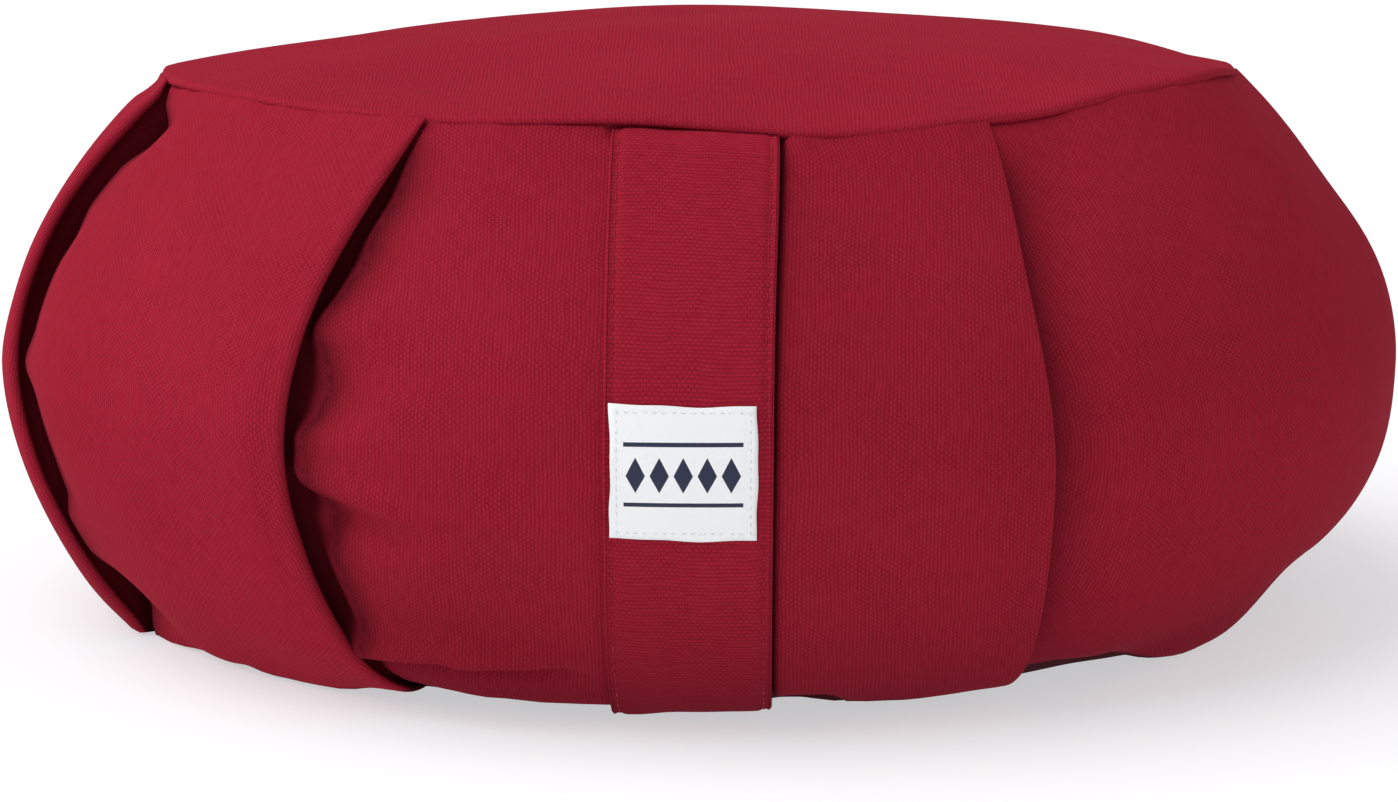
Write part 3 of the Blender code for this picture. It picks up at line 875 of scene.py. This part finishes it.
def make_label():
    """A thin cloth square whose cut edges aren't quite straight, pressed down by its stitches."""
    size = 28
    across = np.linspace(-1, 1, size + 1)
    down = np.linspace(-1, 1, size + 1)[:, None]
    top, bottom = arc_down(LABEL_TOP), arc_down(LABEL_BOTTOM)
    half_height = (bottom - top) / 2
    wave = 0.25 * MM * np.sin(2.6 * across + 0.9) + 0.10 * MM * np.sin(7.3 * across)
    side_wave = 0.18 * MM * np.sin(3.1 * down + 2.0) + 0.08 * MM * np.sin(8.9 * down)
    x = LABEL_WIDTH / 2 * across + side_wave * np.abs(across)
    y = half_height * down + wave * np.abs(down)
    arc = (top + bottom) / 2 + y
    share = np.interp(arc, ARC_LENGTHS, ARC_SHARES)
    edge = np.minimum(LABEL_WIDTH / 2 - np.abs(x), half_height - np.abs(y))
    pressed = LABEL_PRESS * np.exp(-(((edge - LABEL_INSET) / LABEL_PRESS_REACH) ** 2))
    curl = LABEL_CURL * np.exp(-edge / LABEL_CURL_REACH) * (1 + np.sin(5 * across + 3 * down))
    side = LABEL_MIDDLE - strap_middle(share) + x
    points = strap_point(side, share, STRAP_THICKNESS + LABEL_GAP - pressed + curl)
    faces, maps = lay_grid(np.stack(np.broadcast_arrays(x, -y), -1), size + 1)
    label = make_mesh("woven_label", points.reshape(-1, 3), faces, maps)
    sheet = label.modifiers.new("cloth", "SOLIDIFY")
    sheet.thickness = LABEL_THICKNESS
    sheet.offset = 1
    return label


# ---------------------------------------------------------------- stitches
def stitch_tree(material):
    """Geometry nodes that lay thread stitches, end to end with small gaps, along every curve."""
    tree = bpy.data.node_groups.new("run_of_stitches", "GeometryNodeTree")
    sockets = tree.interface
    sockets.new_socket("Geometry", in_out="INPUT", socket_type="NodeSocketGeometry")
    for name in ("Spacing", "Stitch length", "Thread thickness"):
        sockets.new_socket(name, in_out="INPUT", socket_type="NodeSocketFloat")
    sockets.new_socket("Geometry", in_out="OUTPUT", socket_type="NodeSocketGeometry")
    start = add(tree, "NodeGroupInput")
    path = add(tree, "GeometryNodeMeshToCurve", {"Mesh": start.outputs["Geometry"]})
    beads = add(
        tree, "GeometryNodeCurveToPoints",
        {"Curve": path.outputs["Curve"], "Length": start.outputs["Spacing"]}, mode="LENGTH",
    )
    ball = add(tree, "GeometryNodeMeshUVSphere", {"Segments": 8, "Rings": 6, "Radius": 0.5})
    size = add(tree, "CombineXYZ", {
        "X": start.outputs["Thread thickness"],
        "Y": start.outputs["Thread thickness"],
        "Z": start.outputs["Stitch length"],
    })
    stitch = add(
        tree, "GeometryNodeTransform",
        {"Geometry": ball.outputs["Mesh"], "Scale": size.outputs["Vector"]},
    )
    turn = add(tree, "FunctionNodeAlignRotationToVector", {"Vector": beads.outputs["Tangent"]}, axis="Z")
    laid = add(tree, "GeometryNodeInstanceOnPoints", {
        "Points": beads.outputs["Points"],
        "Instance": stitch.outputs["Geometry"],
        "Rotation": turn.outputs["Rotation"],
    })
    real = add(tree, "GeometryNodeRealizeInstances", {"Geometry": laid.outputs["Instances"]})
    finish = add(
        tree, "GeometryNodeSetMaterial",
        {"Geometry": real.outputs["Geometry"], "Material": material},
    )
    add(tree, "NodeGroupOutput", {"Geometry": finish.outputs["Geometry"]})
    return tree


def lay_stitches(name, paths, stitch, material):
    """Stitches along paths, each a list of points, as a plain mesh."""
    points, edges = [], []
    for path in paths:
        first = len(points)
        points += np.asarray(path).tolist()
        edges += [(n, n + 1) for n in range(first, len(points) - 1)]
    data = bpy.data.meshes.new(name + "_path")
    data.from_pydata(points, edges, [])
    thread = show(name + "_path", data)
    modifier = thread.modifiers.new("stitches", "NODES")
    modifier.node_group = stitch_tree(material)
    for item in modifier.node_group.interface.items_tree:
        if item.in_out == "INPUT" and item.name != "Geometry":
            modifier[item.identifier] = {
                "Spacing": stitch.spacing,
                "Stitch length": stitch.length,
                "Thread thickness": stitch.thickness,
            }[item.name]
    graph = bpy.context.evaluated_depsgraph_get()
    laid = bpy.data.meshes.new_from_object(thread.evaluated_get(graph))
    bpy.data.objects.remove(thread)
    laid.name = name
    laid.shade_smooth()
    return show(name, laid)


def strap_paths():
    share = np.linspace(*STITCHED_SHARES, 220)
    sides = (-STRAP_WIDTH / 2 + STITCH_INSET, STRAP_WIDTH / 2 - STITCH_INSET)
    return [
        strap_point(np.full(share.shape, side), share, strap_face(side) + THREAD_RISE)
        for side in sides
    ]


def label_paths():
    """The four sides of the label's stitching, one path each."""
    top, bottom = arc_down(LABEL_TOP) + LABEL_INSET, arc_down(LABEL_BOTTOM) - LABEL_INSET
    left, right = (LABEL_MIDDLE + end * (LABEL_WIDTH / 2 - LABEL_INSET) for end in (-1, 1))
    steps = np.linspace(0, 1, 60)
    still = np.ones(60)
    sides = (
        (blend(left, right, steps), top * still), (right * still, blend(top, bottom, steps)),
        (blend(right, left, steps), bottom * still), (left * still, blend(bottom, top, steps)),
    )
    paths = []
    for across, arc in sides:
        share = np.interp(arc, ARC_LENGTHS, ARC_SHARES)
        out = STRAP_THICKNESS + LABEL_GAP + LABEL_THICKNESS - LABEL_PRESS
        paths.append(strap_point(across - strap_middle(share), share, out))
    return paths


# ---------------------------------------------------------------- materials
def linear(hex_colour):
    """An sRGB colour such as A8243A as linear numbers."""
    parts = [int(hex_colour[n : n + 2], 16) / 255 for n in (0, 2, 4)]
    return tuple(
        part / 12.92 if part <= 0.04045 else ((part + 0.055) / 1.055) ** 2.4 for part in parts
    ) + (1.0,)


def add(tree, kind, links=None, **settings):
    """Adds a node with its settings, a shader node where kind doesn't say. links maps its inputs
    to values, to sockets, or to other nodes, whose first output it takes."""
    node = tree.nodes.new(kind if "Node" in kind else "ShaderNode" + kind)
    for name, value in settings.items():
        setattr(node, name, value)
    for key, value in (links or {}).items():
        if isinstance(value, bpy.types.Node):
            value = value.outputs[0]
        if isinstance(value, bpy.types.NodeSocket):
            tree.links.new(value, node.inputs[key])
        else:
            node.inputs[key].default_value = value
    return node


def start_material(name, **finish):
    """A material whose shader has these values on its own sockets."""
    material = bpy.data.materials.new(name)
    material.use_nodes = True
    shader = material.node_tree.nodes["Principled BSDF"]
    for key, value in finish.items():
        shader.inputs[key.replace("_", " ")].default_value = value
    return material, material.node_tree, shader


def plug(shader, **sockets):
    """Links sockets to a shader's own."""
    for key, socket in sockets.items():
        shader.id_data.links.new(socket, shader.inputs[key.replace("_", " ")])


# Cotton duck: a heavy plain weave whose warp stands in ribs, with small hollows between them where
# each weft thread dips, in staggered rows; the hollows and the valleys between the ribs are painted
# dark as painted shade. Measured in the photograph, the ribs are 0.93 mm apart and the picks 0.65 mm.
RIB_PITCH = 0.93 * MM
PICK_PITCH = 0.65 * MM
THREAD_RELIEF = 0.12 * MM
RIB_RED = "91172A"
LIT_RED = "B32A3F"
WEAVE_SHADE_RED = "3E050C"
RUBBED_RED = "AE3145"
RUBBED_SHARE = 0.15
PAINTED_SHADE_RED = "3A0C14"


def weave_canvas(name, turned):
    """Red duck, its ribs running down the cloth, or across it where turned."""
    material, tree, shader = start_material(
        name, Specular_IOR_Level=0.02, Sheen_Weight=0.02, Sheen_Roughness=0.6,
        Sheen_Tint=linear("C82E46"),
    )
    cloth = add(tree, "UVMap", uv_map=CLOTH_MAP)
    across_ribs, along_ribs = 1 / RIB_PITCH, 1 / PICK_PITCH
    threads = add(
        tree, "Mapping",
        {
            "Vector": cloth,
            "Rotation": (0, 0, math.pi / 2 if turned else 0),
            "Scale": (along_ribs, across_ribs, 1) if turned else (across_ribs, along_ribs, 1),
        },
    )
    wander = add(
        tree, "TexNoise", {"Vector": threads, "Scale": 0.05, "Detail": 3.0},
        noise_dimensions="2D",
    )
    moved = add(
        tree, "VectorMath",
        {0: wander.outputs["Color"], 1: (1.6, 1.6, 0), 2: threads}, operation="MULTIPLY_ADD",
    )
    at = add(tree, "SeparateXYZ", {"Vector": moved})
    turns = [add(tree, "Math", {0: at.outputs[way], 1: math.pi}, operation="MULTIPLY") for way in "XY"]
    across, along = (add(tree, "Math", {0: turn}, operation="SINE") for turn in turns)
    cell = add(tree, "Math", {0: across, 1: along}, operation="MULTIPLY")
    dip = add(
        tree, "MapRange",
        {"Value": cell, "From Min": -0.1, "From Max": -1.0, "To Max": 1.0},
        interpolation_type="SMOOTHSTEP",
    )
    ridge = add(tree, "Math", {0: across}, operation="ABSOLUTE")
    # Yarn is spun unevenly, so a thread is lighter or darker over a few centimetres
    stretched = add(tree, "VectorMath", {0: moved, 1: (0.80, 0.16, 1)}, operation="MULTIPLY")
    slub = add(
        tree, "TexNoise", {"Vector": stretched, "Scale": 1.0, "Detail": 3.0},
        noise_dimensions="2D",
    )
    where = add(tree, "TexCoord")
    dyed = add(tree, "TexNoise", {"Vector": where.outputs["Object"], "Scale": 16.0, "Detail": 3.0})
    lightness = add(tree, "Mix", {"Factor": 0.4, "A": slub.outputs["Fac"], "B": dyed.outputs["Fac"]})
    yarn = add(tree, "Mix", {0: lightness, 6: linear(RIB_RED), 7: linear(LIT_RED)}, data_type="RGBA")
    # The ribs are packed more closely in some places than in others
    packed = add(
        tree, "MapRange",
        {"Value": wander, "From Min": 0.3, "From Max": 0.7, "To Min": 0.16, "To Max": 0.40},
    )
    # The weave's hollows and the valleys between its ribs are painted dark as painted shade
    hollow = add(tree, "Math", {0: dip, 1: packed}, operation="MULTIPLY")
    valley = add(tree, "Math", {0: ridge, 1: -0.44, 2: 0.44}, operation="MULTIPLY_ADD")
    dark = add(tree, "Math", {0: hollow, 1: valley}, operation="ADD")
    woven = add(tree, "Mix", {0: dark, 6: yarn.outputs[2], 7: linear(WEAVE_SHADE_RED)}, data_type="RGBA")
    rub = add(tree, "Attribute", attribute_name="rub")
    rubbed_off = add(tree, "Math", {0: rub.outputs["Fac"], 1: RUBBED_SHARE}, operation="MULTIPLY")
    worn = add(tree, "Mix", {0: rubbed_off, 6: woven.outputs[2], 7: linear(RUBBED_RED)}, data_type="RGBA")
    # The attribute read here darkens the colour towards a deep red as painted shade
    painted_shade = add(tree, "Attribute", attribute_name="painted_shade")
    with_painted_shade = add(
        tree, "Mix",
        {0: painted_shade.outputs["Fac"], 6: worn.outputs[2], 7: linear(PAINTED_SHADE_RED)},
        data_type="RGBA",
    )
    plug(shader, Base_Color=with_painted_shade.outputs[2])
    relief = add(tree, "Math", {0: 1.0, 1: dark}, operation="SUBTRACT")
    bump = add(tree, "Bump", {"Strength": 0.8, "Distance": THREAD_RELIEF, "Height": relief})
    plug(shader, Normal=bump.outputs["Normal"])
    rough = add(tree, "MapRange", {"Value": slub.outputs["Fac"], "To Min": 0.80, "To Max": 0.94})
    plug(shader, Roughness=rough.outputs["Result"])
    return material


LABEL_THREAD = 0.36 * MM
DIAMOND_PITCH = 5.2 * MM
DIAMOND_WIDTH = 4.2 * MM
DIAMOND_HEIGHT = 7.2 * MM
BAR_HEIGHT = 6.2 * MM
BAR_WIDTH = 0.9 * MM
BORDER_WIDTH = 26 * MM


def weave_label(name):
    """A damask label: fine white polyester satin, with a woven row of dark blue diamonds between
    two bars. Its sheen is a little higher than the canvas's, and its threads show only as a
    faint grid."""
    material, tree, shader = start_material(
        name, Roughness=0.55, Specular_IOR_Level=0.35, Sheen_Weight=0.05,
    )
    cloth = add(tree, "UVMap", uv_map=CLOTH_MAP)
    at = add(tree, "SeparateXYZ", {"Vector": cloth})
    x, y = at.outputs["X"], at.outputs["Y"]
    aside = add(tree, "Math", {0: x}, operation="ABSOLUTE")
    away = add(tree, "Math", {0: y}, operation="ABSOLUTE")
    inside = add(tree, "Math", {0: aside, 1: BORDER_WIDTH / 2}, operation="LESS_THAN")
    column = add(tree, "Math", {0: x, 1: DIAMOND_PITCH / 2}, operation="PINGPONG")
    share_x = add(tree, "Math", {0: column, 1: DIAMOND_WIDTH / 2}, operation="DIVIDE")
    share_y = add(tree, "Math", {0: away, 1: DIAMOND_HEIGHT / 2}, operation="DIVIDE")
    slant = add(tree, "Math", {0: share_x, 1: share_y}, operation="ADD")
    diamond = add(tree, "Math", {0: slant, 1: 1.0}, operation="LESS_THAN")
    bar = add(tree, "Math", {0: away, 1: BAR_HEIGHT, 2: BAR_WIDTH / 2}, operation="COMPARE")
    drawing = add(tree, "Math", {0: diamond, 1: bar}, operation="MAXIMUM")
    navy = add(tree, "Math", {0: drawing, 1: inside}, operation="MULTIPLY")
    turns = [
        add(tree, "Math", {0: way, 1: 2 * math.pi / LABEL_THREAD}, operation="MULTIPLY")
        for way in (x, y)
    ]
    grid_x, grid_y = (add(tree, "Math", {0: turn}, operation="SINE") for turn in turns)
    thread = add(tree, "Math", {0: grid_x, 1: grid_y}, operation="MULTIPLY")
    fine = add(tree, "Math", {0: thread, 1: 0.5, 2: 0.5}, operation="MULTIPLY_ADD")
    ground = add(tree, "Mix", {0: fine, 6: linear("F6F9FC"), 7: linear("FFFFFF")}, data_type="RGBA")
    drawn = add(tree, "Mix", {0: navy, 6: ground.outputs[2], 7: linear("252B45")}, data_type="RGBA")
    plug(shader, Base_Color=drawn.outputs[2])
    height = add(tree, "Math", {0: thread, 1: navy}, operation="ADD")
    bump = add(tree, "Bump", {"Strength": 0.5, "Distance": 0.05 * MM, "Height": height})
    plug(shader, Normal=bump.outputs["Normal"])
    return material


def spin_thread(name, shaded, lit):
    """Twisted polyester sewing thread: a slight gloss, and fine slanting strands in painted highlight and
    shade.
    """
    material, tree, shader = start_material(name, Roughness=0.6, Specular_IOR_Level=0.1)
    where = add(tree, "TexCoord")
    strands = add(
        tree, "TexWave",
        {"Vector": where.outputs["Object"], "Scale": 420.0, "Distortion": 0.6},
        wave_type="BANDS", bands_direction="DIAGONAL",
    )
    colour = add(
        tree, "Mix",
        {0: strands.outputs["Fac"], 6: linear(shaded), 7: linear(lit)}, data_type="RGBA",
    )
    plug(shader, Base_Color=colour.outputs[2])
    bump = add(tree, "Bump", {"Strength": 0.4, "Distance": 0.05 * MM, "Height": strands.outputs["Fac"]})
    plug(shader, Normal=bump.outputs["Normal"])
    return material


def paint_floor():
    """A matt white sweep that is also lit from below, which thins the shadows on it. Its white is
    the faintest bit uneven."""
    material, tree, shader = start_material(
        "lit_white_sweep", Roughness=0.9, Specular_IOR_Level=0.1, Emission_Strength=FLOOR_GLOW,
        Emission_Color=linear("FBFCFF"),
    )
    where = add(tree, "TexCoord")
    uneven = add(tree, "TexNoise", {"Vector": where.outputs["Object"], "Scale": 3.0})
    colour = add(
        tree, "Mix",
        {0: uneven.outputs["Fac"], 6: linear("B5B4B6"), 7: linear("BABABB")}, data_type="RGBA",
    )
    plug(shader, Base_Color=colour.outputs[2])
    return material


# ---------------------------------------------------------------- the studio
FLOOR_HALF = 8.0
FLOOR_LEVEL = -0.0002
FLOOR_GLOW = 0.56
KEY_POWER = 2.38
KEY_SPREAD = 70
KEY_PLACE = (-1.68, -0.24, 2.34)
KEY_TARGET = (0, 0, 0.07)
ROOM_POWER = 0.47
CAMERA_PLACE = (0, -1.092, 0.249)
CAMERA_DIP = 0.1805
FOCAL_LENGTH = 106.84
SENSOR_WIDTH = 36


def make_floor():
    half = FLOOR_HALF
    corners = ((-half, -half), (half, -half), (half, half), (-half, half))
    floor = make_mesh("studio_floor", [(x, y, FLOOR_LEVEL) for x, y in corners], [(0, 1, 2, 3)])
    floor.data.materials.append(paint_floor())


def aim(thing, target):
    """Turns a lamp or camera to look at a point."""
    direction = np.array(target) - np.array(thing.location)
    flat = math.hypot(direction[0], direction[1])
    thing.rotation_euler = (
        math.pi / 2 + math.atan2(direction[2], flat), 0, math.atan2(-direction[0], direction[1]),
    )


def light_studio():
    """A broad key from the upper left, so large that it lights the whole sweep evenly, and a
    white room."""
    lamp = bpy.data.lights.new("key_light", "SUN")
    lamp.energy = KEY_POWER
    lamp.angle = math.radians(KEY_SPREAD)
    key = show("key_light", lamp)
    key.location = KEY_PLACE
    aim(key, KEY_TARGET)
    world = bpy.data.worlds.new("white_room")
    world.use_nodes = True
    sky = world.node_tree.nodes["Background"]
    sky.inputs["Color"].default_value = linear("FFFFFF")
    sky.inputs["Strength"].default_value = ROOM_POWER
    bpy.context.scene.world = world
    bpy.context.scene.view_settings.view_transform = "Standard"


def set_camera():
    """The photograph's view: 1.09 m away, looking down by 10.3 degrees."""
    lens = bpy.data.cameras.new("front_view")
    lens.sensor_width = SENSOR_WIDTH
    lens.lens = FOCAL_LENGTH
    camera = show("front_view", lens)
    camera.location = CAMERA_PLACE
    camera.rotation_euler = (math.pi / 2 - CAMERA_DIP, 0, 0)
    bpy.context.scene.camera = camera


# ---------------------------------------------------------------- the pieces
def dress(piece, material):
    if material is not None:
        piece.data.materials.append(material)
    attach(piece, "root")


duck = weave_canvas("cotton_duck", turned=False)
strap_duck = weave_canvas("strap_duck", turned=True)
# The red thread is set darker than the cloth as painted shade of the holes its stitches sink into
red_thread = spin_thread("red_polyester_thread", "841426", "9C2438")
white_thread = spin_thread("white_polyester_thread", "D4DAE0", "F4F7FA")

cover = make_cover()
dress(cover, duck)
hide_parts("cushion")

strap = make_strap()
dress(strap, strap_duck)
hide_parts("carrying_strap")

label = make_label()
dress(label, weave_label("white_damask_label"))
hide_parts("sewn_label")

dress(lay_stitches("strap_stitching", strap_paths(), STRAP_STITCH, red_thread), None)
dress(lay_stitches("label_stitching", label_paths(), LABEL_STITCH, white_thread), None)

make_floor()
light_studio()
set_camera()
